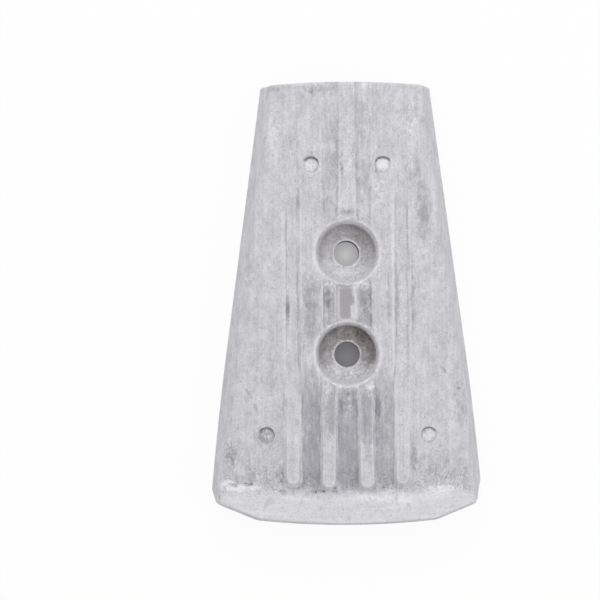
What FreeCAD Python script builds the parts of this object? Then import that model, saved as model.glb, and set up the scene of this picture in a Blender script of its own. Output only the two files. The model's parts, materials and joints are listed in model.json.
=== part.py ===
import FreeCAD, Part
import math
import os
from FreeCAD import Vector

# Sacrificial anode for a stern drive or outboard: one tapered block, cast in one piece.
# Millimetres. The origin lies on the flat back, midway between the two bolt holes.
# +Y runs toward the narrow end, +Z out of the ribbed face, +X to the right of someone facing it.

# Plan of the block, measured on the back face
narrow_tip = 84.2            # from the origin to the crest of the narrow end
wide_tip = 83.4              # from the origin to the crest of the wide end
narrow_half_width = 32.1     # where the sides meet the narrow end
side_taper = 7.6             # degrees that each side leans away from the centre line
side_bend_start = 5.0        # below the origin, where the sides begin to curve in
side_bend_radius = 1500.0
narrow_end_bow = 1.5         # how far the narrow end bows out
wide_end_bow = 1.9           # how far the middle stretch of the wide end bows out
cut_corner_half_width = 34.0 # where the cut corners of the wide end begin
cut_corner_depth = 7.3       # how far the cut corners run up the sides
narrow_corner_radius = 2.0
wide_corner_radius = 6.5
cut_corner_radius = 10.0     # softens the cut corners where they meet the wide end
side_draft = 12.0            # degrees
end_draft = 3.0              # degrees

# Section of the block
thickness = 22.0             # on the centre line, over the bolt holes
crown_radius = 150.0         # the face is crowned across the block
narrow_roll = 3.0            # radius where the crown rolls into the sides
wide_roll = 5.2
arris_radius = 0.7           # along the top of the two ends

# Fall of the middle of the face to a nearly flat band along the wide end
band_length = 15.4           # from the crest of the wide end to the foot of the fall
fall_length = 42.0
fall_depth = 4.5
fall_ease = 0.22             # share of the fall that eases in, and out again
fall_steps = 9
level_offset = 40.0          # this far out from the centre line the face stays level

# Bolt holes, each in a drafted recess for the bolt head, on a round pad
hole_spacing = 38.1
hole_radius = 4.8
recess_rim_radius = 11.5
recess_floor_radius = 10.2
recess_floor = 11.0          # height of the seat for the bolt head
recess_corner_bevel = 1.2    # between the seat and the wall
recess_lip = 0.6             # bevel round the rim of the recess
pad_radius = 12.8
pad_square_reach = 12.4      # the centre strip stops square, this far from a hole
pad_square_half_width = 4.9

# Flat bars that run the length of the face
inner_bar_offset = 6.5       # from the centre line, level with the origin
inner_bar_fan = 0.5          # degrees that each inner bar turns out toward the wide end
outer_bar_offset = 20.5
bar_top_half_width = 2.6
bar_edge_radius = 0.9        # along the top of a bar
bar_draft = 16.0             # degrees
bar_root = 14.0              # height at which the bars are rooted in the block
groove_half_width = 2.35     # where the crown is higher, the bar runs in a shallow groove
groove_lean = 30.0           # degrees that the groove's walls lean
inner_bar_depth = 0.7        # of the bar's top, below the thickness
outer_bar_depth = 2.4        # at the wide end, from where the outer bars rise a little
outer_bar_fade_depth = 1.6   # where the outer bars fade out
inner_bar_gap = 14.3         # from the crest of the wide end to the bars' rounded ends
outer_bar_gap = 15.7
outer_bar_fade = 42.3        # from the crest of the narrow end to where the outer bars fade out
fade_lean = 84.0             # degrees that a groove's upper end leans
groove_blend = 7.0           # radius where the grooves run into the pads

# Ejector marks
mark_radius = 2.7
mark_depth = 0.9
mark_lean = 10.0             # degrees
narrow_mark_offset = 13.4    # from the centre line
narrow_mark_gap = 32.5       # from the crest of the narrow end
wide_mark_offset = 30.4
wide_mark_gap = 34.0         # from the crest of the wide end

# Room that cutting tools keep beyond the block
overrun = 3.0
side_relief = 0.3            # keeps the plan tool off the drafted sides
touching = 0.001             # two points closer than this are the same

# Places along the length that follow from the sizes above
narrow_corner_y = narrow_tip - narrow_end_bow
wide_corner_y = wide_end_bow - wide_tip
cut_corner_y = wide_corner_y + cut_corner_depth
fall_foot_y = band_length - wide_tip
fall_start_y = fall_foot_y + fall_length
inner_end_y = inner_bar_gap - wide_tip
outer_end_y = outer_bar_gap - wide_tip
outer_start_y = narrow_tip - outer_bar_fade
hole_places = (hole_spacing / 2, -hole_spacing / 2)
inner_top = thickness - inner_bar_depth
outer_top = thickness - outer_bar_depth
band_thickness = thickness - fall_depth


def tangent(degrees):
    return math.tan(math.radians(degrees))


def half_width(y):
    """Half the width of the back face at a distance y from the origin."""
    straight = narrow_half_width + (narrow_corner_y - y) * tangent(side_taper)
    past_bend = max(0.0, -side_bend_start - y)
    return straight - past_bend ** 2 / (2 * side_bend_radius)


def fallen(share):
    """How much of its depth the face has fallen, at a share of the length of the fall."""
    easing_in = min(share, fall_ease)
    easing_out = max(0.0, share - (1 - fall_ease))
    steady = max(0.0, min(share, 1 - fall_ease) - fall_ease)
    travel = easing_in ** 2 / (2 * fall_ease) + steady + easing_out - easing_out ** 2 / (2 * fall_ease)
    return travel / (1 - fall_ease)


def station(y, share):
    """Place, height on the centre line, crown radius and roll radius of one cross-section."""
    height = thickness - fall_depth * fallen(share)
    level = thickness - level_offset ** 2 / (2 * crown_radius)
    down = (narrow_tip - y) / (narrow_tip + wide_tip)
    roll = narrow_roll + down * (wide_roll - narrow_roll)
    return (y, height, level_offset ** 2 / (2 * (height - level)), roll)


def stations():
    """The cross-sections of the block, from the narrow end down."""
    shares = [step / fall_steps for step in range(fall_steps + 1)]
    fall = [station(fall_start_y - share * fall_length, share) for share in shares]
    return [station(narrow_tip + overrun, 0), *fall, station(-(wide_tip + overrun), 1)]


def surface_height(x, y):
    """Height of the crowned face at a point of the plan."""
    share = min(max((fall_start_y - y) / fall_length, 0), 1)
    _, height, crown, _ = station(y, share)
    return height - x * x / (2 * crown)


def cross_section(y, height, crown, roll):
    """Closed outline across the block, from below its back up to the crowned face."""
    base = half_width(y)
    lean = math.radians(side_draft)
    slope = math.tan(lean)
    foot = base + overrun * slope
    crown_centre = height - crown
    inset = base - roll / math.cos(lean)
    # The centre of the roll touches the side line and the crown from inside
    a = slope * slope + 1
    b = inset * slope + crown_centre
    c = inset * inset + crown_centre ** 2 - (crown - roll) ** 2
    centre_z = (b + math.sqrt(b * b - a * c)) / a
    centre_x = inset - centre_z * slope
    upper_angle = math.atan2(centre_z - crown_centre, centre_x)

    def point(x, z):
        return Vector(x, y, z)

    def on_roll(side, angle):
        return point(side * (centre_x + roll * math.cos(angle)), centre_z + roll * math.sin(angle))

    def rolled_edge(side):
        return [on_roll(side, angle) for angle in (lean, (lean + upper_angle) / 2, upper_angle)]

    right, left = rolled_edge(1), rolled_edge(-1)
    right_foot, left_foot = point(foot, -overrun), point(-foot, -overrun)
    curves = [
        Part.LineSegment(left_foot, right_foot),
        Part.LineSegment(right_foot, right[0]),
        Part.Arc(*right),
        Part.Arc(right[2], point(0, height), left[2]),
        Part.Arc(left[2], left[1], left[0]),
        Part.LineSegment(left[0], left_foot),
    ]
    return Part.Wire([curve.toShape() for curve in curves])


def plan_outline(inset, z):
    """Outline of the block from above, drawn in by an inset that allows for the end draft."""
    def corners(side):
        return [
            Vector(side * (half_width(narrow_corner_y) + side_relief - inset), narrow_corner_y - inset, z),
            Vector(side * (half_width(-side_bend_start) + side_relief - inset), -side_bend_start, z),
            Vector(side * (half_width(cut_corner_y) + side_relief - inset), cut_corner_y + inset, z),
            Vector(side * (cut_corner_half_width - inset), wide_corner_y + inset, z),
        ]

    def bend(side):
        middle_y = (cut_corner_y - side_bend_start) / 2
        return Vector(side * (half_width(middle_y) + side_relief - inset), middle_y, z)

    right, left = corners(1), corners(-1)
    curves = [
        Part.Arc(left[0], Vector(0, narrow_tip - inset, z), right[0]),
        Part.LineSegment(right[0], right[1]),
        Part.Arc(right[1], bend(1), right[2]),
        Part.LineSegment(right[2], right[3]),
        Part.Arc(right[3], Vector(0, inset - wide_tip, z), left[3]),
        Part.LineSegment(left[3], left[2]),
        Part.Arc(left[2], bend(-1), left[1]),
        Part.LineSegment(left[1], left[0]),
    ]
    return Part.Wire([curve.toShape() for curve in curves])


def upright_edges(solid, x, y):
    """The edges of a prism that rise from a point of its outline and from the mirrored point."""
    found = []
    for edge in solid.Edges:
        foot = min(edge.Vertexes, key=lambda vertex: vertex.Z).Point
        rises = edge.BoundBox.ZLength > thickness
        if rises and abs(abs(foot.x) - x) < touching and abs(foot.y - y) < touching:
            found.append(edge)
    return found


def plan_tool():
    """The block's outline as a drafted prism on the back face, with its upright corners rounded."""
    high = thickness + overrun
    tool = Part.makeLoft([plan_outline(0, 0), plan_outline(high * tangent(end_draft), high)], True, True)
    corners = [
        (half_width(narrow_corner_y) + side_relief, narrow_corner_y, narrow_corner_radius),
        (half_width(cut_corner_y) + side_relief, cut_corner_y, wide_corner_radius),
        (cut_corner_half_width, wide_corner_y, cut_corner_radius),
    ]
    for x, y, radius in corners:
        tool = tool.makeFillet(radius, upright_edges(tool, x, y))
    return tool


def lies_on(edge, solid):
    """Whether the middle of an edge lies on the surface of a solid."""
    middle = Part.Vertex(edge.valueAt((edge.FirstParameter + edge.LastParameter) / 2))
    return solid.Shells[0].distToShape(middle)[0] < touching


def block():
    """The crowned, tapered block, with the arrises of its two ends rounded."""
    crowned = Part.makeLoft([cross_section(*row) for row in stations()], True, True)
    tool = plan_tool()
    solid = crowned.common(tool)
    high = [edge for edge in solid.Edges if edge.BoundBox.ZMin > band_thickness / 2]
    arrises = [edge for edge in high if lies_on(edge, crowned) and lies_on(edge, tool)]
    return solid.makeFillet(arris_radius, arrises)


def slot_wire(x, y_low, y_high, half, z):
    """A long outline with a round lower end and a square upper end."""
    low_left, low_right = Vector(x - half, y_low + half, z), Vector(x + half, y_low + half, z)
    high_left, high_right = Vector(x - half, y_high, z), Vector(x + half, y_high, z)
    curves = [
        Part.Arc(low_left, Vector(x, y_low, z), low_right),
        Part.LineSegment(low_right, high_right),
        Part.LineSegment(high_right, high_left),
        Part.LineSegment(high_left, low_left),
    ]
    return Part.Wire([curve.toShape() for curve in curves])


def bar(x, y_low, y_high, top):
    """A flat-topped bar with rounded edges, drafted down to its root inside the block."""
    spread = (top - bar_root) * tangent(bar_draft)
    upper = slot_wire(x, y_low, y_high, bar_top_half_width, top)
    lower = slot_wire(x, y_low - spread, y_high, bar_top_half_width + spread, bar_root)
    solid = Part.makeLoft([lower, upper], True, True)
    square_end = y_high - touching
    rim = [edge for edge in solid.Edges
           if edge.BoundBox.ZMin > top - touching and edge.CenterOfMass.y < square_end]
    return solid.makeFillet(bar_edge_radius, rim)


def groove(x, y_low, y_high, floor, upper_lean=0.0):
    """What is cleared above a bar where the crown stands higher than the bar."""
    rise = thickness + overrun - floor
    spread = rise * tangent(groove_lean)
    lower = slot_wire(x, y_low, y_high, groove_half_width, floor)
    upper = slot_wire(x, y_low - spread, y_high + rise * tangent(upper_lean),
                      groove_half_width + spread, floor + rise)
    return Part.makeLoft([lower, upper], True, True)


def tilted(shape):
    """An outer bar or its groove, raised a little from the wide end up to where it fades out."""
    rise = outer_bar_depth - outer_bar_fade_depth
    angle = math.degrees(math.atan2(rise, outer_start_y - outer_end_y))
    pivot = Vector(0, outer_end_y, outer_top)
    return shape.rotate(pivot, Vector(1, 0, 0), angle)


def fanned(shape, side):
    """An inner bar or its groove, turned out a little toward the wide end."""
    pivot = Vector(side * inner_bar_offset, 0, 0)
    return shape.rotate(pivot, Vector(0, 0, 1), side * inner_bar_fan)


def pad(y):
    """The round pad at a bolt hole, level with the inner bars."""
    spread = (inner_top - bar_root) * tangent(bar_draft)
    return Part.makeCone(pad_radius + spread, pad_radius, inner_top - bar_root, Vector(0, y, bar_root))


def pad_clearance(y, floor):
    """What is cleared above the round pad at a bolt hole, square across the centre strip."""
    rise = thickness + overrun - floor
    spread = rise * tangent(groove_lean)
    disc = Part.makeCone(pad_radius, pad_radius + spread, rise, Vector(0, y, floor))

    def rectangle(grow, z):
        w, r = pad_square_half_width + grow, pad_square_reach + grow
        corners = [Vector(-w, y - r, z), Vector(w, y - r, z), Vector(w, y + r, z), Vector(-w, y + r, z)]
        return Part.makePolygon(corners + corners[:1])

    square = Part.makeLoft([rectangle(0, floor), rectangle(spread, floor + rise)], True, True)
    return disc.fuse(square)


def sunk_middle():
    """What is cleared above the inner bars and the pads, in one piece with blended corners."""
    tools = [fanned(groove(side * inner_bar_offset, inner_end_y, narrow_tip + overrun, inner_top), side)
             for side in (-1, 1)]
    tools += [pad_clearance(y, inner_top) for y in hole_places]
    tool = tools[0].fuse(tools[1:]).removeSplitter()

    def is_meeting(edge):
        """Whether an edge rises where the outer wall of a groove meets the round wall of a pad."""
        foot = min(edge.Vertexes, key=lambda vertex: vertex.Z).Point
        distances = [foot.distanceToPoint(Vector(0, y, inner_top)) for y in hole_places]
        on_pad = min(abs(distance - pad_radius) for distance in distances) < touching
        on_groove = inner_bar_offset < abs(foot.x) < pad_radius - touching
        return on_pad and on_groove and edge.BoundBox.ZLength > inner_bar_depth

    return tool.makeFillet(groove_blend, [edge for edge in tool.Edges if is_meeting(edge)])


def recess(y):
    """The drafted recess for a bolt head, its rim bevel and the hole through its floor."""
    bowl = Part.makeCone(recess_floor_radius, recess_rim_radius, inner_top - recess_floor,
                         Vector(0, y, recess_floor))
    floor_edge = [edge for edge in bowl.Edges if edge.BoundBox.ZMax < recess_floor + touching]
    bowl = bowl.makeChamfer(recess_corner_bevel, floor_edge)
    lip = Part.makeCone(recess_rim_radius - recess_lip, recess_rim_radius + 2 * recess_lip,
                        3 * recess_lip, Vector(0, y, inner_top - 2 * recess_lip))
    hole = Part.makeCylinder(hole_radius, thickness + 2 * overrun, Vector(0, y, -overrun))
    return bowl.fuse([lip, hole])


def ejector_mark(x, y):
    floor = surface_height(x, y) - mark_depth
    rise = mark_depth + overrun
    return Part.makeCone(mark_radius, mark_radius + rise * tangent(mark_lean), rise, Vector(x, y, floor))


def anode():
    """The whole casting."""
    # Past these places the bars lie under the crown and only their grooves show
    inner_start_y = narrow_corner_y - overrun
    outer_shown_y = fall_start_y + overrun

    cleared = [sunk_middle()]
    raised = [pad(y) for y in hole_places]
    for side in (-1, 1):
        inner, outer = side * inner_bar_offset, side * outer_bar_offset
        cleared.append(tilted(groove(outer, outer_end_y, outer_start_y, outer_top, fade_lean)))
        raised.append(fanned(bar(inner, inner_end_y, inner_start_y, inner_top), side))
        raised.append(tilted(bar(outer, outer_end_y, outer_shown_y, outer_top)))
    solid = block().cut(cleared).fuse(raised)

    marks = []
    for side in (-1, 1):
        marks.append(ejector_mark(side * narrow_mark_offset, narrow_tip - narrow_mark_gap))
        marks.append(ejector_mark(side * wide_mark_offset, wide_mark_gap - wide_tip))
    return solid.cut([recess(y) for y in hole_places] + marks).removeSplitter()


os.makedirs("parts", exist_ok=True)
shape = anode()
print("solids", len(shape.Solids), "valid", shape.isValid(), "volume cm3", round(shape.Volume / 1000, 1))
shape.exportStep("parts/anode.step")
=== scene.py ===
import json
import math
import bpy
import numpy
from mathutils import Matrix, Vector


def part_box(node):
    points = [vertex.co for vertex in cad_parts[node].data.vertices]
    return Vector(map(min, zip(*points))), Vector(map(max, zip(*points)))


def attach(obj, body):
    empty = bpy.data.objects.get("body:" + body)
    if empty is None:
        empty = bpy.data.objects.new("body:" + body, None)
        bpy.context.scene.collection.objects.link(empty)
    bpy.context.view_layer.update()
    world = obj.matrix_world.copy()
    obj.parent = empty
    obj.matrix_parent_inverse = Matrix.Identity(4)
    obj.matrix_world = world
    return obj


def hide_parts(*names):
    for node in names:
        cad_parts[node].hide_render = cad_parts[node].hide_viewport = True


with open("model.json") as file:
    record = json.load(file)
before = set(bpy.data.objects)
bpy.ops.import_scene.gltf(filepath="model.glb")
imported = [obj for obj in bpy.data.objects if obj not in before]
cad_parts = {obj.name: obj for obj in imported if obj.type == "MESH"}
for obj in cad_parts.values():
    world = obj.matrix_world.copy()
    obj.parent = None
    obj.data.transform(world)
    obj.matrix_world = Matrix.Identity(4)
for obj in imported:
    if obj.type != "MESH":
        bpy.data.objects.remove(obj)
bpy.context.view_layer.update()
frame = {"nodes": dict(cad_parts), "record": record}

# The block lies on its flat back with its narrow end up the picture. Places and sizes are in
# millimetres from the middle of the two bolt holes, unless a line says otherwise.
MM = 0.001
low, high = (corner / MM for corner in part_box("anode"))
HOLES = [Vector(mount["pos_m"]) / MM for mount in frame["record"]["mounts"] if mount["kind"] == "bore"]
HOLE_RADIUS = 4.8
SEAT_HEIGHT = 11.0       # of a recess's floor, above the back
RIM_RADIUS = 11.5        # of a recess at its top
PAD_RADIUS = 12.8        # of the raised pad round a recess
INNER_BAR = 6.5          # from the centre line, at the middle of the block
OUTER_BAR = 20.5
INNER_BAR_FAN = 0.009    # how far an inner bar runs outward for each millimetre down the block
BAR_HALF_WIDTH = 2.6
INNER_BAR_END = low.y + 14.3
OUTER_BAR_END = low.y + 15.7
BARS_REACH = 24.0        # from the centre line to just past the outer bars
BAND_TOP = low.y + 13.4  # where the smooth band along the wide end begins
FALL_TOP = low.y + 59.4  # where the middle of the face begins to fall
BOX_MIDDLE = (-0.1, 0.7)    # of the short flat box between the holes
BOX_HALF_WIDTH = 4.3
BOX_HALF_LENGTH = 7.2
STRIP_END = 31.6         # where the flat strips on the centre line stop square, at the pads
STRIP_HALF_WIDTH = 4.4
MARKS = [(-13.4, 51.7), (13.4, 51.7), (-30.4, -49.4), (30.4, -49.4)]
MARK_RADIUS = 2.7


def colour(hex_text):
    """An sRGB hex colour as linear red, green, blue and full alpha."""
    channels = [int(hex_text[i:i + 2], 16) / 255 for i in (1, 3, 5)]
    linear = [c / 12.92 if c <= 0.04045 else ((c + 0.055) / 1.055) ** 2.4 for c in channels]
    return (*linear, 1.0)


def add_node(tree, kind, links=None, **settings):
    """One shader node with its settings, and with links from other sockets to its inputs."""
    node = tree.nodes.new(kind)
    for name, value in settings.items():
        if name.startswith("in_"):
            key = name[3:]
            node.inputs[int(key) if key.isdigit() else key.replace("_", " ")].default_value = value
        else:
            setattr(node, name, value)
    for key, socket in (links or {}).items():
        tree.links.new(socket, node.inputs[key])
    return node


def new_material(name):
    """An empty node material and its tree."""
    material = bpy.data.materials.new(name)
    material.use_nodes = True
    material.node_tree.nodes.clear()
    return material, material.node_tree


def select_only(*objects):
    """Selects these objects and nothing else, and makes the first one active."""
    bpy.ops.object.select_all(action="DESELECT")
    for chosen in objects:
        chosen.select_set(True)
    bpy.context.view_layer.objects.active = objects[0]


# The casting

def merged_copy(name):
    """The block's own mesh as a new object, with its loose triangles joined up."""
    casting = bpy.data.objects.new(name, frame["nodes"]["anode"].data.copy())
    bpy.context.scene.collection.objects.link(casting)
    select_only(casting)
    bpy.ops.object.mode_set(mode="EDIT")
    bpy.ops.mesh.select_all(action="SELECT")
    bpy.ops.mesh.remove_doubles(threshold=0.002 * MM)
    bpy.ops.object.mode_set(mode="OBJECT")
    return casting


def pit(place, upward, along, across, deep, turn, seed):
    """An uneven pebble shape, to be taken out of the surface, which faces upward there."""
    bpy.ops.mesh.primitive_ico_sphere_add(subdivisions=2, radius=1.0)
    pebble = bpy.context.object
    lean = Vector((0, 0, 1)).rotation_difference(upward)
    pebble.rotation_euler = (lean.to_matrix() @ Matrix.Rotation(math.radians(turn), 3, "Z")).to_euler()
    pebble.scale = Vector((along, across, deep)) * MM
    pebble.location = place
    bpy.ops.object.transform_apply(location=True, rotation=True, scale=True)
    bpy.ops.object.mode_set(mode="EDIT")
    bpy.ops.transform.vertex_random(offset=0.25 * min(along, across, deep) * MM, seed=seed)
    bpy.ops.object.mode_set(mode="OBJECT")
    return pebble


def trimming(x, y, turn):
    """A tall block outside a corner, whose near side passes through a point of the plan."""
    side = 20 * MM
    angle = math.radians(turn)
    bpy.ops.mesh.primitive_cube_add(size=side)
    cutter = bpy.context.object
    cutter.scale.z = 3.0
    away = Vector((math.cos(angle), math.sin(angle), 0))
    cutter.rotation_euler.z = angle
    cutter.location = Vector((x, y, 0)) * MM + away * side / 2
    bpy.ops.object.transform_apply(location=True, rotation=True, scale=True)
    return cutter


CORNER_CUTS = [
    # x and y of a point on each cut, and the direction in degrees that the cut faces
    (high.x - 0.75, -67.8, -11.3),
    (-50.0, -73.0, 197.0),
]


def uneven_corners():
    """What fettling took off the two corners of the wide end, which makes them differ."""
    return [trimming(x, y, turn) for x, y, turn in CORNER_CUTS]


KNOCKS = [
    # x and y, half length, half width, depth, and turn in degrees of each pit or shallow score
    (-46.3, -69.5, 0.8, 1.3, 0.6, 20),
    (-44.2, -67.6, 0.9, 0.45, 0.5, 30),
    (-42.6, -68.0, 1.1, 0.5, 0.6, -20),
    (-38.0, -67.7, 1.3, 0.45, 0.6, -12),
    (-36.3, -67.5, 0.7, 0.35, 0.4, 0),
    (-24.2, -70.5, 1.2, 0.5, 0.3, -25),
    (-48.4, -72.7, 0.7, 0.7, 0.5, 0),
    (-10.8, -70.45, 2.8, 0.2, 0.13, 3),
    (-6.4, -70.4, 2.6, 0.2, 0.13, -3),
    (-4.8, -69.2, 0.4, 0.4, 0.4, 0),
    (11.3, 49.4, 0.7, 0.35, 0.3, 30),
    (-42.3, -29.6, 2.6, 0.15, 0.06, 3),
    (-37.6, -32.8, 3.6, 0.15, 0.07, -54),
    (-34.5, -38.4, 2.4, 0.15, 0.06, -72),
    (36.3, -25.5, 3.5, 0.12, 0.05, -51),
    (41.8, -32.0, 0.6, 0.4, 0.3, 0),
]


def knocks(casting):
    """The shapes of all that handling took off the upper side, each centred on the surface."""
    down = Vector((0, 0, -1))
    pieces = []
    for seed, (x, y, along, across, deep, turn) in enumerate(KNOCKS):
        place, upward = casting.ray_cast(Vector((x, y, 60)) * MM, down)[1:3]
        pieces.append(pit(place, upward, along, across, deep, turn, seed))
    return pieces


def burrs():
    """A ridge that the core left round each bolt hole, tilted so that it stands out unevenly."""
    rings = []
    for hole in HOLES:
        bpy.ops.mesh.primitive_torus_add(
            major_radius=(HOLE_RADIUS + 0.15) * MM, minor_radius=0.4 * MM, major_segments=64,
            minor_segments=10, location=Vector((hole.x, hole.y, SEAT_HEIGHT - 0.1)) * MM,
            rotation=(math.radians(4.0), math.radians(2.5), 0))
        rings.append(bpy.context.object)
        bpy.ops.object.transform_apply(location=True, rotation=True, scale=True)
    return rings


def combine(casting, pieces, operation):
    """Adds pieces to the casting or takes them out of it."""
    select_only(*pieces)
    bpy.ops.object.join()
    tool = bpy.context.object
    select_only(casting)
    boolean = casting.modifiers.new("combine", "BOOLEAN")
    boolean.object = tool
    boolean.operation = operation
    boolean.solver = "MANIFOLD"
    bpy.ops.object.modifier_apply(modifier=boolean.name)
    bpy.data.objects.remove(tool)


def remesh(casting):
    """An even mesh that keeps the sharp edges, fine enough to carry the cast surface."""
    even = casting.modifiers.new("even", "REMESH")
    even.mode = "SHARP"
    even.octree_depth = 8
    even.scale = 0.97
    even.use_remove_disconnected = False
    bpy.ops.object.modifier_apply(modifier=even.name)


def places_of(mesh):
    """The vertices as three rows, x, y and z, in millimetres."""
    flat = numpy.empty(len(mesh.vertices) * 3, numpy.float32)
    mesh.vertices.foreach_get("co", flat)
    return flat.reshape(-1, 3).T / MM


def ease(value, start, end):
    """0 before start, 1 past end, and smooth between them, where start may be the larger."""
    share = numpy.clip((value - start) / (end - start), 0, 1)
    return share * share * (3 - 2 * share)


def from_holes(x, y):
    """Distance from the axis of the nearer bolt hole."""
    return numpy.minimum(*(numpy.hypot(x - hole.x, y - hole.y) for hole in HOLES))


def from_marks(x, y):
    """Distance from the middle of the nearest ejector mark."""
    return numpy.minimum.reduce([numpy.hypot(x - mark_x, y - mark_y) for mark_x, mark_y in MARKS])


def from_bars(x, y):
    """Distance from the middle line of the nearest bar, whose end is round."""
    inner = abs(x) - INNER_BAR + INNER_BAR_FAN * y
    outer = abs(x) - OUTER_BAR
    past_inner = numpy.maximum(0, INNER_BAR_END + BAR_HALF_WIDTH - y)
    past_outer = numpy.maximum(0, OUTER_BAR_END + BAR_HALF_WIDTH - y)
    return numpy.minimum(numpy.hypot(inner, past_inner), numpy.hypot(outer, past_outer))


def weigh(casting, name, weights):
    """A vertex group that holds the weights in steps of a tenth."""
    group = casting.vertex_groups.new(name=name)
    for step in range(1, 11):
        members = numpy.nonzero(numpy.ceil(weights * 10) == step)[0]
        group.add(members.tolist(), step / 10, "REPLACE")


def soften(casting):
    """Rounds what the mould left crisp, and turns the corner of each recess into a cove."""
    x, y, z = places_of(casting.data)
    radius = from_holes(x, y)
    from_bar = from_bars(x, y)
    above_back = ease(z, 0.5, 3.0)
    crisp = ease(radius, 7.0, 6.0) + ease(from_marks(x, y), 4.0, 3.2)
    crisp += ease(y, high.y - 3, high.y - 1.5)
    at_rim = ease(abs(radius - RIM_RADIUS), 1.6, 0.6) * ease(z, 18.0, 20.0)
    in_corner = ease(radius, 7.6, 8.8) * ease(radius, 12.0, 11.3) * ease(z, 20.0, 17.0) * above_back
    beside_bar = ease(from_bar, 2.7, 3.3) * ease(from_bar, 7.0, 5.0) * ease(y, -28.0, -40.0)
    beside_bar *= above_back
    beside_bar *= ease(y, -80.0, -76.0)
    for name, weights, repeats in (("edges", above_back * (1 - crisp), 3),
                                   ("rims of the recesses", at_rim, 12),
                                   ("recess corners", in_corner, 80),
                                   ("roots of the bars", beside_bar, 50)):
        weigh(casting, name, weights)
        smooth = casting.modifiers.new(name, "SMOOTH")
        smooth.factor = 0.5
        smooth.iterations = repeats
        smooth.vertex_group = name
        bpy.ops.object.modifier_apply(modifier=smooth.name)
        casting.vertex_groups.remove(casting.vertex_groups[name])


SWELLS = [
    # name, size and depth of each unevenness of the cast surface
    ("swell", 22.0, 0.35),
    ("ripple", 6.0, 0.12),
    ("cast skin", 1.6, 0.07),
]


def swell(casting):
    """Slow swells and fine roughness, which leave the back flat and never leave the block's box."""
    skin = "free of the back"
    weigh(casting, skin, ease(places_of(casting.data)[2], 0.5, 4.0))
    for name, size, depth in SWELLS:
        texture = bpy.data.textures.new(name, "CLOUDS")
        texture.noise_scale = size * MM
        texture.noise_depth = 2
        displace = casting.modifiers.new(name, "DISPLACE")
        displace.texture = texture
        displace.texture_coords = "LOCAL"
        displace.vertex_group = skin
        displace.mid_level = 1.0
        displace.strength = depth * MM
        bpy.ops.object.modifier_apply(modifier=displace.name)
    casting.vertex_groups.remove(casting.vertex_groups[skin])
    inside = numpy.clip(places_of(casting.data).T, low, high) * MM
    casting.data.vertices.foreach_set("co", inside.ravel())
    casting.data.update()


# Tone that the surface carries, and painted light and shade, on the vertices from 0 to 1

def spots(x, y, ovals):
    """Soft ovals, each given as its middle, its reach along x and along y, and its strength."""
    total = numpy.zeros_like(x)
    for middle_x, middle_y, half_x, half_y, strength in ovals:
        distance = numpy.hypot((x - middle_x) / half_x, (y - middle_y) / half_y)
        total += strength * ease(distance, 1.5, 0.0)
    return numpy.clip(total, 0, 1)


STAINS = [
    (-44.0, -56.5, 3.6, 6.0, 0.55),
    (-2.0, 51.0, 0.9, 8.5, 0.6),
    (-22.3, -3.0, 0.8, 6.8, 0.9),
    (24.6, -57.5, 1.8, 7.0, 0.55),
    (-25.2, -64.0, 2.6, 5.5, 0.5),
    (-31.8, -49.6, 2.4, 3.2, 0.5),
    (0.2, 34.0, 4.6, 1.8, 0.6),
    (0.2, -33.6, 3.6, 2.0, 0.45),
    (-13.0, 79.2, 4.0, 1.8, 0.4),
    (-7.0, 1.0, 2.2, 9.0, 0.55),
    (6.8, 1.0, 2.2, 9.0, 0.5),
]

DULL = [
    (-36.0, -60.0, 15.0, 12.0, 0.25),
    (35.0, -60.0, 13.0, 10.0, 0.35),
    (0.0, -66.5, 50.0, 5.0, 0.25),
    (-14.0, -2.0, 4.6, 18.0, 0.7),
    (18.6, 2.0, 1.4, 22.0, 0.7),
    (15.2, 1.0, 1.1, 14.0, 0.6),
    (24.3, 1.0, 1.6, 20.0, 0.7),
    (11.2, -38.0, 1.7, 9.0, 0.9),
    (-5.4, -40.0, 1.9, 10.0, 0.6),
    (-23.6, -38.0, 1.2, 12.0, 0.6),
    (2.3, -38.0, 1.1, 10.0, 0.5),
    (-2.4, -38.0, 1.1, 10.0, 0.5),
    (25.0, 49.0, 4.0, 8.0, 0.5),
    (29.0, 34.0, 3.5, 13.0, 0.75),
    (-27.0, 80.5, 6.0, 3.0, 0.6),
    (-10.0, 80.0, 12.0, 3.0, 0.4),
    (26.0, 74.0, 8.0, 8.0, 0.3),
    (-30.4, -49.4, 5.0, 5.0, 0.6),
    (-33.0, -24.0, 9.0, 12.0, 0.3),
    (43.0, -40.0, 5.0, 14.0, 0.4),
    (7.2, -50.0, 3.0, 16.0, 0.25),
]

RUBBED = [
    (35.0, -70.0, 8.0, 3.0, 0.7),
    (-45.4, -67.8, 3.4, 2.4, 1.0),
    (0.6, 56.0, 3.4, 24.0, 0.35),
    (12.6, 42.0, 3.4, 9.0, 0.4),
    (-13.0, 42.0, 3.6, 9.0, 0.3),
    (-28.0, 66.0, 5.0, 15.0, 0.4),
    (24.0, 66.0, 3.4, 9.0, 0.4),
    (0.0, -39.0, 2.0, 8.0, 0.35),
    (20.5, -20.0, 2.6, 60.0, 0.3),
    (-38.5, -69.0, 8.0, 2.2, 0.75),
    (13.0, -72.5, 10.0, 2.4, 0.4),
    (6.4, 82.0, 1.8, 2.4, 0.7),
    (24.0, -74.0, 14.0, 2.6, 0.45),
    (-16.0, -73.0, 10.0, 1.8, 0.4),
    (4.0, -72.5, 6.0, 2.0, 0.4),
    (-6.8, 7.0, 2.8, 2.8, 0.45),
    (6.8, 7.0, 2.8, 2.8, 0.45),
    (-7.6, -32.0, 2.4, 4.0, 0.5),
    (8.4, -31.5, 2.6, 4.0, 0.6),
]


UPPER_SIDE = (9.0, 12.0)    # heights between which the tones of the upper side set in
TOP = (15.0, 19.0)


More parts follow.
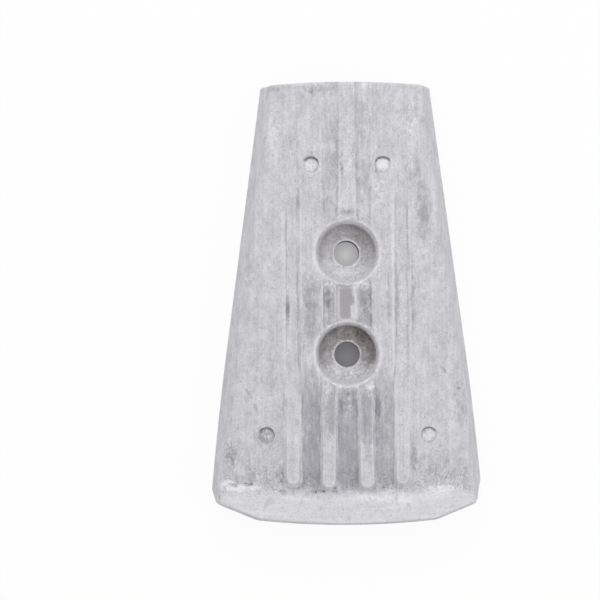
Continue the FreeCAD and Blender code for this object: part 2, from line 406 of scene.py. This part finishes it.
def bar_tones(x, y):
    """Painted shade in the fall between the bars, in their grooves and at their feet, their pale
    lines, and the speckle at their ends.

    The bars stand proud toward the wide end, and are sunk in the face toward the narrow end,
    where their lines grow faint. The strips between them are painted darker, as shade where the
    face falls away. The pale lines at the bars' edges are partly wear and partly painted
    highlights.
    """
    from_bar = from_bars(x, y)
    off_bars = ease(from_bar, BAR_HALF_WIDTH + 0.5, BAR_HALF_WIDTH + 1.5)
    stands = ease(y, -15.0, -35.0)
    faint = 1 - 0.65 * ease(y, 25.0, 50.0)
    between_bars = ease(abs(x), BARS_REACH, BARS_REACH - 4) * ease(y, BAND_TOP - 4, BAND_TOP + 4)
    between_bars *= 1 - 0.2 * ease(x, 8.0, 12.0)
    fall = 0.25 * ease(y, 38, 0) + 0.5 * ease(y, FALL_TOP + 6, FALL_TOP - 16)
    # Painted shade in the grooves where the inner bars are sunk
    on_inner_bar = (1 - off_bars) * ease(abs(x), 12.0, 11.0)
    groove = 0.6 * ease(y, -62.0, -44.0) * ease(y, 16.0, 6.0)
    groove += 0.4 * ease(y, 20.0, 34.0) * ease(y, 84.0, 70.0)
    # Painted shade along the feet of the bars
    foot = ease(abs(from_bar - BAR_HALF_WIDTH + 0.5 - 1.4 * stands), 0.9, 0.1)
    foot *= ease(y, -74.0, -66.0)
    foot *= (0.45 - 0.03 * stands) * (1 - 0.6 * (abs(x) > OUTER_BAR) * stands)
    # Pale lines at the bars' edges: wear, and painted highlights
    crests = 0.44 * ease(abs(from_bar - BAR_HALF_WIDTH - 0.5 * (1 - stands)), 0.9, 0.3)
    speckle = 0.28 * ease(abs(y + 66.0), 10.0, 2.0) * (0.4 + 0.6 * off_bars)
    return between_bars * off_bars * fall, on_inner_bar * groove, foot * faint, crests * faint, speckle


def recess_tones(x, y, z):
    """The dirt and painted shade, and the painted light, of each recess, and the pale edge of the
    pad round it.

    A recess holds dirt and painted shade on its far and right sides, has painted light on its near
    side, and has bright edges at its rim and round its hole, which are partly wear and partly
    painted highlights.
    """
    radius = from_holes(x, y)
    up_recess = numpy.where(y > 0, y - HOLES[0].y, y - HOLES[1].y)
    upper_left = 0.5 + 0.5 * numpy.clip((up_recess - x) / (radius * math.sqrt(2)), -1, 1)
    # Painted highlight on the hole's edge, brightest toward the upper left
    hole_edge = ease(radius, HOLE_RADIUS + 0.9, HOLE_RADIUS + 0.4) * ease(z, 5.0, 9.0)
    hole_edge *= 0.5 + 0.5 * upper_left
    inside = ease(radius, RIM_RADIUS, RIM_RADIUS - 1.0) * ease(z, 21.3, 20.6)
    # Dirt, and painted shade on the far and right sides
    dirt_and_shade = 0.07 + 0.27 * ease(up_recess, -4, 8) + 0.17 * ease(x, -4, 6)
    dirt_and_shade += 0.2 * (y < 0) * ease(up_recess, -8, -1)
    # Painted light on the near side of the floor, and on the rim
    seat_light = ease(radius, RIM_RADIUS + 1.0, RIM_RADIUS) * ease(up_recess, 2.0, -7.0)
    seat_light *= 0.45 + 0.35 * ease(radius, 9.0, 11.0)
    rims = 0.6 * ease(abs(radius - RIM_RADIUS), 1.7, 0.6) * ease(z, 13.0, 17.0)
    pad_edge = 0.6 * ease(abs(radius - PAD_RADIUS), 0.6, 0.1) * ease(abs(x), 6.5, 9.0)
    light = numpy.maximum.reduce([rims, seat_light, hole_edge])
    return inside * dirt_and_shade * (1 - hole_edge), light, pad_edge * ease(z, *TOP)


def box_tones(x, y, z):
    """The smooth patch and the pale frame of the box, and the pale ends of the strips beyond it.

    The right edge of the patch bulges at its middle.
    """
    box_x, box_y = BOX_MIDDLE
    past_box = numpy.maximum(abs(x - box_x) - BOX_HALF_WIDTH, abs(y - box_y) - BOX_HALF_LENGTH)
    frame_line = 0.55 * ease(abs(past_box), 0.9, 0.2) * ease(z, *TOP)
    bulge_radius = 2.3
    bulge = numpy.sqrt(numpy.maximum(0, bulge_radius ** 2 - (y - 0.9) ** 2))
    patch_edge = numpy.maximum(1.1 + 0.5 * ease(y, 0.0, 3.0), 0.4 + bulge)
    patch = ease(abs(y - box_y), 6.8, 6.4) * ease(x, -4.0, -3.6) * ease(x - patch_edge, 0.2, -0.2)
    strip_ends = 0.6 * ease(abs(abs(y - 0.3) - STRIP_END), 0.7, 0.2)
    strip_ends *= ease(abs(x), STRIP_HALF_WIDTH, STRIP_HALF_WIDTH - 0.6)
    return patch, frame_line, strip_ends


def mark_tones(x, y):
    """The pale floor of each ejector mark, and painted shade under its far edge."""
    from_mark = from_marks(x, y)
    up_mark = numpy.where(y > 0, y - MARKS[0][1], y - MARKS[2][1])
    floors = ease(from_mark, MARK_RADIUS, MARK_RADIUS - 0.4)
    floors *= 0.33 + 0.22 * (y > 0) + 0.17 * (x > 0) + 0.13 * (x > 0) * (y > 0)
    shade = ease(abs(from_mark - MARK_RADIUS), 0.7 + 0.4 * (y > 0), 0.3 + 0.1 * (y > 0))
    shade *= ease(up_mark, 0.2, 2.0) * (0.75 + 0.2 * (y > 0))
    return floors, shade


def paint(casting):
    """Named tones on the vertices, each of them the strength of one layer of the finish or of painted
    light and shade.
    """
    mesh = casting.data
    x, y, z = places_of(mesh)
    upper = ease(z, *UPPER_SIDE)
    on_face = upper * ease(from_holes(x, y), RIM_RADIUS + 0.5, RIM_RADIUS + 1.5)
    valley, grooves, foot, crests, speckle = bar_tones(x, y)
    dirt_and_shade, recess_light, pad_edge = recess_tones(x, y, z)
    patch, box_frame, strip_ends = box_tones(x, y, z)
    mark_floors, mark_shade = mark_tones(x, y)
    tones = {
        # painted shade in the strips between the bars
        "valley": valley,
        # dull patches, and painted shade in the grooves of the inner bars
        "dull_and_groove_shade": (spots(x, y, DULL) + grooves) * upper,
        # painted shade along the feet of the bars
        "foot": foot * on_face,
        "band": 0.9 * ease(y, BAND_TOP + 2, BAND_TOP - 3) * ease(z, 13.0, 15.0),
        "speckle": speckle * upper,
        "smooth": patch,
        # dirt, and painted shade on the far and right sides of the recesses
        "dirt_and_shade": dirt_and_shade,
        # stains, and painted shade under the far edge of each ejector mark
        "stain": numpy.maximum(spots(x, y, STAINS), mark_shade) * upper,
        # wear, and painted light in the recesses and round the holes
        "wear_and_painted_light": numpy.maximum.reduce([spots(x, y, RUBBED) * upper, recess_light, mark_floors,
                                        strip_ends * on_face]),
        # worn edges, and painted highlights along the bars
        "crest": numpy.maximum.reduce([crests * on_face, pad_edge, box_frame]),
    }
    clear_of_back = ease(z, 3.0, 6.0)
    for name, values in tones.items():
        attribute = mesh.attributes.new(name, "FLOAT", "POINT")
        attribute.data.foreach_set("value", (values * clear_of_back).astype(numpy.float32))


def make_casting():
    """The whole block as it came from the mould and through the fettling shop."""
    casting = merged_copy("anode_casting")
    combine(casting, uneven_corners(), "DIFFERENCE")
    remesh(casting)
    soften(casting)
    combine(casting, burrs(), "UNION")
    combine(casting, knocks(casting), "DIFFERENCE")
    swell(casting)
    paint(casting)
    select_only(casting)
    bpy.ops.object.shade_smooth_by_angle(angle=math.radians(40))
    casting.data.materials.clear()
    casting.data.materials.append(cast_alloy())
    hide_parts("anode")
    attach(casting, "root")


# Finish

LAYERS = [
    # painted tone, how it is laid on, its colour, how ragged it is, and the size in millimetres,
    # along x, y and z, of the unevenness that breaks it up
    # painted shade between the bars
    ("valley", "MULTIPLY", "#d4d4d7", 0.8, (1.6, 6.0, 3.0)),
    # dull patches, and painted shade in the grooves of the inner bars
    ("dull_and_groove_shade", "MULTIPLY", "#d6d6d8", 1.0, (1.8, 3.5, 2.5)),
    # painted shade along the feet of the bars
    ("foot", "MULTIPLY", "#b4b3b8", 1.1, (0.7, 11.0, 11.0)),
    ("band", "SCREEN", "#7c7c7e", 0.8, (5.0, 1.0, 3.0)),
    ("speckle", "MULTIPLY", "#b6b5b9", 2.5, (0.7, 0.7, 0.7)),
    ("smooth", "MIX", "#a3a0a3", 0.1, (8.0, 1.0, 8.0)),
    # dirt, and painted shade in the recesses
    ("dirt_and_shade", "MULTIPLY", "#928472", 0.45, (1.2, 1.0, 2.4)),
    # stains, and painted shade at the ejector marks
    ("stain", "MULTIPLY", "#b5b3b0", 0.9, (1.0, 1.3, 1.2)),
    # wear, and painted light in the recesses and round the holes
    ("wear_and_painted_light", "MIX", "#e8e7ea", 1.1, (1.2, 1.2, 1.2)),
    # worn edges, and painted highlights along the bars
    ("crest", "MIX", "#dcdbdf", 0.6, (1.0, 5.0, 3.0)),
]

SPECKS = [
    # size in millimetres along x, y and z, turn in degrees, the level of the noise at which each
    # begins and is full, its colour, and the share of the ground that it covers
    ((2.2, 3.2, 2.6), 0.0, 0.58, 0.72, "#a3a2a7", 0.35),
    ((0.7, 1.0, 0.8), 0.0, 0.64, 0.72, "#8b8a8e", 0.5),
    ((0.25, 6.0, 6.0), 8.0, 0.66, 0.74, "#efeef2", 0.4),
    ((0.25, 4.0, 4.0), -42.0, 0.68, 0.75, "#9a999d", 0.45),
]

EDGES = [
    # colour, the bend of the surface at which it begins and is full, and the share that it covers
    ("#f0eff3", 0.505, 0.56, 0.4),
    ("#8a888c", 0.49, 0.41, 0.15),
]

DARK_GREY = "#b0afb4"
PALE_GREY = "#dfdee2"
DARKEST = -1.3           # tone before the drag lines, mottles and grain add to it by their weights
DRAG_WEIGHT = 0.6
MOTTLE_WEIGHT = 2.0
GRAIN_WEIGHT = 1.0
BUMP_DEPTH = 0.08


def cast_alloy():
    """Cast aluminium anode alloy, grey and without lustre from its own oxide, with edges worn bright,
    and with coats of painted light and shade.

    To the eye it is a pale neutral grey, mottled and speckled at every size from a grain of sand
    to a thumb's width, with long faint drag lines, and it shines only in a broad, blurred way.
    """
    material, tree = new_material("cast aluminium anode alloy")
    place = add_node(tree, "ShaderNodeTexCoord").outputs["Object"]

    def unevenness(size, detail=3.0, roughness=0.5, turn=0.0):
        """Noise whose size along x, y and z is in millimetres."""
        turned = add_node(tree, "ShaderNodeMapping", {"Vector": place},
                          in_Rotation=(0, 0, math.radians(turn)))
        scaled = add_node(tree, "ShaderNodeMapping", {"Vector": turned.outputs[0]},
                          in_Scale=tuple(1 / (length * MM) for length in size))
        return add_node(tree, "ShaderNodeTexNoise", {"Vector": scaled.outputs[0]}, in_Scale=1.0,
                        in_Detail=detail, in_Roughness=roughness).outputs[0]

    # Long drag lines, which run across the block on the band, and mottles of every size
    band = add_node(tree, "ShaderNodeAttribute", attribute_name="band").outputs["Fac"]
    drag = add_node(tree, "ShaderNodeMix", {0: band, 2: unevenness((0.8, 36.0, 36.0)),
                                            3: unevenness((18.0, 0.8, 18.0))}).outputs[0]
    mottle = add_node(tree, "ShaderNodeMix", {0: band, 2: unevenness((5.0, 8.0, 6.5), 6.0, 0.85),
                                              3: unevenness((10.0, 2.5, 6.5), 6.0, 0.85)}).outputs[0]
    grain = unevenness((0.45, 0.55, 0.5), 2.0)
    tone = add_node(tree, "ShaderNodeMath", {0: drag}, operation="MULTIPLY_ADD", in_1=DRAG_WEIGHT,
                    in_2=DARKEST)
    tone = add_node(tree, "ShaderNodeMath", {0: mottle, 2: tone.outputs[0]},
                    operation="MULTIPLY_ADD", in_1=MOTTLE_WEIGHT)
    tone = add_node(tree, "ShaderNodeMath", {0: grain, 2: tone.outputs[0]},
                    operation="MULTIPLY_ADD", in_1=GRAIN_WEIGHT, use_clamp=True)
    ground = add_node(tree, "ShaderNodeMix", {0: tone.outputs[0]}, data_type="RGBA",
                      in_6=colour(DARK_GREY), in_7=colour(PALE_GREY)).outputs[2]

    # Each coat on the ground is a mask, a colour, and how the colour is laid on
    coats = []
    for name, way, tint, ragged, size in LAYERS:
        painted = add_node(tree, "ShaderNodeAttribute", attribute_name=name).outputs["Fac"]
        level = add_node(tree, "ShaderNodeMath", {0: painted}, operation="MULTIPLY_ADD",
                         in_1=1 + ragged, in_2=-ragged)
        spread = add_node(tree, "ShaderNodeMapRange", {"Value": unevenness(size, 4.0, 0.7)},
                          in_1=0.35, in_2=0.65, in_4=ragged)
        mask = add_node(tree, "ShaderNodeMath", {0: level.outputs[0], 1: spread.outputs[0]},
                        operation="ADD", use_clamp=True)
        coats.append((mask, tint, way))

    # Mottles and specks of oxide, and fine scratches in two directions
    for size, turn, start, end, tint, share in SPECKS:
        mask = add_node(tree, "ShaderNodeMapRange", {"Value": unevenness(size, 2.0, 0.5, turn)},
                        in_1=start, in_2=end, in_4=share)
        coats.append((mask, tint, "MIX"))

    # Edges are worn bright and inner corners are made a little darker
    bend = add_node(tree, "ShaderNodeNewGeometry").outputs["Pointiness"]
    for tint, start, end, share in EDGES:
        mask = add_node(tree, "ShaderNodeMapRange", {"Value": bend}, in_1=start, in_2=end, in_4=share)
        coats.append((mask, tint, "MIX"))

    for mask, tint, way in coats:
        ground = add_node(tree, "ShaderNodeMix", {0: mask.outputs[0], 6: ground}, data_type="RGBA",
                          blend_type=way, in_7=colour(tint)).outputs[2]

    height = add_node(tree, "ShaderNodeMath", {0: mottle, 2: grain}, operation="MULTIPLY_ADD",
                      in_1=MOTTLE_WEIGHT)
    bump = add_node(tree, "ShaderNodeBump", {"Height": height.outputs[0]}, in_Strength=0.5,
                    in_Distance=BUMP_DEPTH * MM)
    metal = add_node(tree, "ShaderNodeBsdfPrincipled", {"Base Color": ground, "Normal": bump.outputs[0]},
                     in_Metallic=0.25, in_Roughness=0.6)
    add_node(tree, "ShaderNodeOutputMaterial", {0: metal.outputs[0]})
    return material


# The camera hangs over the block, a little to its left and toward its wide end, as a long lens
# on a copy stand does. Places on the floor are in millimetres from the middle of the bolt holes.
CAMERA_HEIGHT = 1300.0
CAMERA_FOOT = (-36.8, -48.6)
AIM_POINT = (-17.4, 1.9)
FLOOR_WIDTH_SEEN = 227.7
CAMERA_TURN = -0.25      # in degrees
SENSOR_WIDTH = 36.0


def set_camera():
    """A camera whose lens is as long as the width of floor that it shows asks for."""
    place = Vector((*CAMERA_FOOT, CAMERA_HEIGHT)) * MM
    aim = Vector((*AIM_POINT, 0.0)) * MM
    data = bpy.data.cameras.new("camera")
    data.sensor_width = SENSOR_WIDTH
    data.lens = SENSOR_WIDTH * (aim - place).length / (FLOOR_WIDTH_SEEN * MM)
    data.clip_end = 10.0
    camera = bpy.data.objects.new("camera", data)
    bpy.context.scene.collection.objects.link(camera)
    back = (place - aim).normalized()
    right = Vector((0, 1, 0)).cross(back).normalized()
    upright = Matrix((right, back.cross(right), back)).transposed().to_4x4()
    turn = Matrix.Rotation(math.radians(CAMERA_TURN), 4, "Z")
    camera.matrix_world = Matrix.Translation(place) @ upright @ turn
    bpy.context.scene.camera = camera


LAMPS = [
    # name, place and size in metres, and power in watts, of each soft box: a large one past the
    # narrow end, and a weaker one at the right
    ("key", (-0.1, 0.75, 1.05), 1.2, 4.8),
    ("fill", (0.9, -0.2, 0.8), 0.9, 1.3),
]
SURROUNDINGS = 0.98      # light that the pale room casts, where 1 is white


def add_lamp(name, place, size, power):
    """A square soft box at a place in metres, turned to the block."""
    data = bpy.data.lights.new(name, "AREA")
    data.size = size
    data.energy = power
    lamp = bpy.data.objects.new(name, data)
    bpy.context.scene.collection.objects.link(lamp)
    lamp.location = place
    lamp.rotation_euler = Vector(place).to_track_quat("Z", "Y").to_euler()


def set_light():
    """Two soft boxes, and pale surroundings that are plain white where they are seen."""
    for lamp in LAMPS:
        add_lamp(*lamp)
    world = bpy.data.worlds.new("studio")
    bpy.context.scene.world = world
    world.use_nodes = True
    tree = world.node_tree
    tree.nodes.clear()
    path = add_node(tree, "ShaderNodeLightPath").outputs
    seen = path["Is Camera Ray"]
    for ray in ("Is Glossy Ray", "Is Transmission Ray"):
        seen = add_node(tree, "ShaderNodeMath", {0: seen, 1: path[ray]}, operation="MAXIMUM").outputs[0]
    dim = add_node(tree, "ShaderNodeBackground", in_Strength=SURROUNDINGS)
    white = add_node(tree, "ShaderNodeBackground", in_Strength=1.0)
    mix = add_node(tree, "ShaderNodeMixShader", {0: seen, 1: dim.outputs[0], 2: white.outputs[0]})
    add_node(tree, "ShaderNodeOutputWorld", {0: mix.outputs[0]})


# The paper that the block lies on
PAPER_WIDTH = 6.0        # in metres
PAPER_WHITE = "#f4f4f4"
PAPER_SHARE = 0.91       # of plain white in the open paper, which leaves it a faint shadow
UNDER_BLOCK = 38.0       # reach of the paper that only the holes show
# The paper under the block is painted grey, as shade, and a glow of painted light lies under each hole
PAPER_SHADE_UNDER_BLOCK = "#a3a1a3"
HOLE_LIGHT_SHARES = (0.47, 0.11)    # of plain white under the middle of each hole
HOLE_SHARE_REACH = 12.0


def add_floor():
    """White paper that shows as white, apart from the block's shadow, with painted shade under the
    block and painted light under each hole.
    """
    bpy.ops.mesh.primitive_plane_add(size=PAPER_WIDTH)
    floor = bpy.context.object
    floor.name = "floor"
    material, tree = new_material("white paper sweep")
    place = add_node(tree, "ShaderNodeTexCoord").outputs["Object"]

    def near(x, y, reach, middle, outside):
        """A share that goes from one value at a point of the floor to another at its reach."""
        moved = add_node(tree, "ShaderNodeMapping", {"Vector": place},
                         in_Scale=(1 / (reach * MM),) * 3, in_Location=(-x / reach, -y / reach, 0))
        ball = add_node(tree, "ShaderNodeTexGradient", {"Vector": moved.outputs[0]},
                        gradient_type="SPHERICAL")
        return add_node(tree, "ShaderNodeMapRange", {"Value": ball.outputs[1]}, in_3=outside,
                        in_4=middle).outputs[0]

    # The values for the middle lie far beyond 0 and 1, so that both change within a few
    # millimetres, under the block. The paper under the block is painted grey, as shade, and a glow
    # under each hole is painted light.
    white_share = add_node(tree, "ShaderNodeMath", {0: near(0.0, 0.0, UNDER_BLOCK, -8.0, PAPER_SHARE)},
                           operation="MAXIMUM", in_1=0.0).outputs[0]
    for hole, share in zip(HOLES, HOLE_LIGHT_SHARES):
        lit = near(hole.x, hole.y, HOLE_SHARE_REACH, share, 0.0)
        white_share = add_node(tree, "ShaderNodeMath", {0: white_share, 1: lit},
                               operation="MAXIMUM").outputs[0]
    shaded = add_node(tree, "ShaderNodeMix", {0: near(0.0, 0.0, UNDER_BLOCK, 6.0, 0.0)}, data_type="RGBA",
                      in_6=colour(PAPER_WHITE), in_7=colour(PAPER_SHADE_UNDER_BLOCK)).outputs[2]
    camera_ray = add_node(tree, "ShaderNodeLightPath").outputs["Is Camera Ray"]
    glowing = add_node(tree, "ShaderNodeMath", {0: camera_ray, 1: white_share}, operation="MULTIPLY")
    paper = add_node(tree, "ShaderNodeBsdfDiffuse", {"Color": shaded})
    glow = add_node(tree, "ShaderNodeEmission", in_Strength=1.0)
    mix = add_node(tree, "ShaderNodeMixShader", {0: glowing.outputs[0], 1: paper.outputs[0],
                                                 2: glow.outputs[0]})
    add_node(tree, "ShaderNodeOutputMaterial", {0: mix.outputs[0]})
    floor.data.materials.append(material)


make_casting()
add_floor()
set_light()
set_camera()
bpy.context.scene.view_settings.view_transform = "Standard"

bpy.context.view_layer.update()
